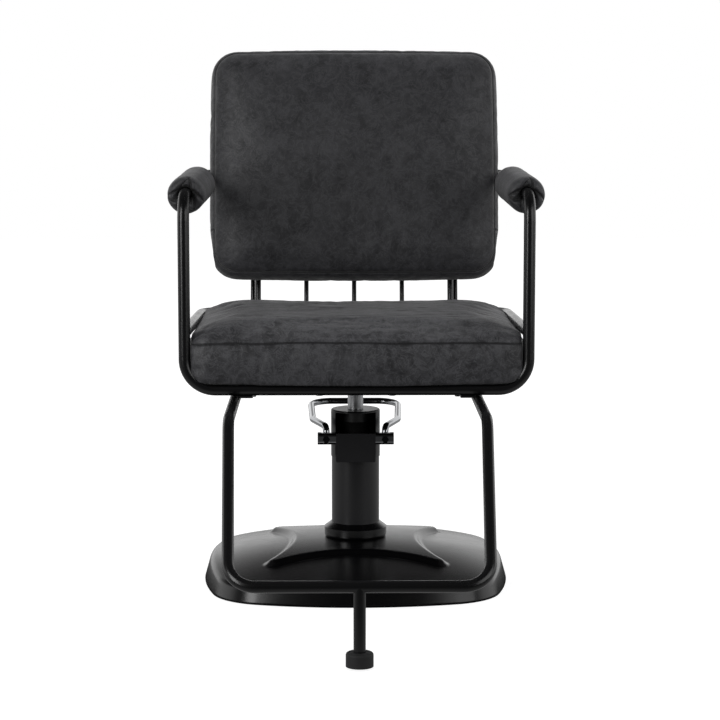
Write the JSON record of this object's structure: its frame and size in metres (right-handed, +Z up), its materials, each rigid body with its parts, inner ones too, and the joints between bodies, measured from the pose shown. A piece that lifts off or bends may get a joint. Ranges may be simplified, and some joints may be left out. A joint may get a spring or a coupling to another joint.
{
  "type": "hydraulic salon styling chair",
  "caption": "Salon styling chair with box cushions in a bent tube frame, a pump lift column with foot lever, a low square base and a slanted footrest loop.",
  "frame": {"origin": "on the floor, under the middle of the base and the lift column's axis", "axes": "+Z up, the chair faces -Y, +X is to the right as seen from in front"},
  "size_m": [0.6526, 1.0337, 0.9586],
  "materials": {
    "frame_black": "satin black powder coat",
    "base_black": "satin black lacquer",
    "pump_black": "gloss black enamel",
    "upholstery_leather": "charcoal leather with a mottled nubuck look",
    "cushion_foam": "open-cell foam",
    "board_wood": "plywood stained black",
    "hardware_black": "black oxide",
    "bare_steel": "ground steel",
    "lever_chrome": "polished chrome plate",
    "yoke_grey": "grey zinc plate",
    "cast_body": "as cast, painted dark grey",
    "bearing_bronze": "sintered bronze",
    "foot_rubber": "matt black rubber"
  },
  "bodies": {
    "base": {"base_cover": "base_black", "pump_foot_bolts": "hardware_black", "base_plate": "base_black", "floor_mat": "foot_rubber", "pump_foot": "cast_body", "base_flange": "base_black", "pump_tube": "pump_black", "pump_head": "pump_black", "pump_cap": "pump_black", "pivot_pin": "bare_steel", "cylinder": "bare_steel", "rod_bush": "bearing_bronze", "rod_wiper": "foot_rubber", "plunger_barrel": "bare_steel", "barrel_bracket": "bare_steel"},
    "lift": {"piston_rod": "bare_steel", "piston": "bare_steel", "piston_seals": "foot_rubber"},
    "lever": {"lever_yoke": "yoke_grey", "lever_clamp_right": "lever_chrome", "lever_clamp_left": "lever_chrome", "clamp_screws": "hardware_black", "lever_loop": "lever_chrome"},
    "plunger": {"pump_plunger": "bare_steel", "return_spring": "bare_steel"},
    "seat": {"front_frame": "frame_black", "arm_hoop": "frame_black", "seat_hoop": "frame_black", "back_spindles": "frame_black", "back_upright_right": "frame_black", "back_upright_left": "frame_black", "seat_bearer_right": "frame_black", "seat_bearer_left": "frame_black", "mount_bolts": "hardware_black", "mount_plate": "frame_black", "cross_bar_front": "frame_black", "cross_bar_rear": "frame_black", "swivel_socket": "frame_black", "swivel_bush": "bearing_bronze", "thrust_washer": "bearing_bronze", "seat_board_screws": "hardware_black", "seat_board": "board_wood", "seat_cushion": "upholstery_leather", "seat_foam": "cushion_foam", "back_screws": "hardware_black", "back_brackets": "frame_black", "back_board": "board_wood", "back_cushion": "upholstery_leather", "back_foam": "cushion_foam", "arm_pad_right": "upholstery_leather", "arm_pad_left": "upholstery_leather", "arm_foam_right": "cushion_foam", "arm_foam_left": "cushion_foam", "footrest_loop": "frame_black", "footrest_clamp_bolts": "hardware_black", "footrest_clamps": "frame_black", "antitip_leg": "frame_black", "leg_foot": "foot_rubber"}
  },
  "joints": [
    {"name": "seat_lift", "type": "slide", "parent": "base", "child": "lift", "axis": [0, 0, 1], "range_m": [0, 0.15]},
    {"name": "seat_swivel", "type": "hinge", "parent": "lift", "child": "seat", "pos_m": [0, 0, 0.335], "axis": [0, 0, 1], "continuous": true},
    {"name": "pump_lever", "type": "hinge", "parent": "base", "child": "lever", "pos_m": [0, -0.0485, 0.232], "axis": [-1, 0, 0], "range_deg": [0, 20], "stiffness_Nm_per_rad": 4, "springref_deg": -28.65},
    {"name": "plunger_slide", "type": "slide", "parent": "base", "child": "plunger", "axis": [0, 0, -1], "range_m": [0, 0.0063], "deforming": ["return_spring"]}
  ],
  "couplings": [
    {"joint": "plunger_slide", "follows": "pump_lever", "m_per_rad": 0.0175}
  ]
}
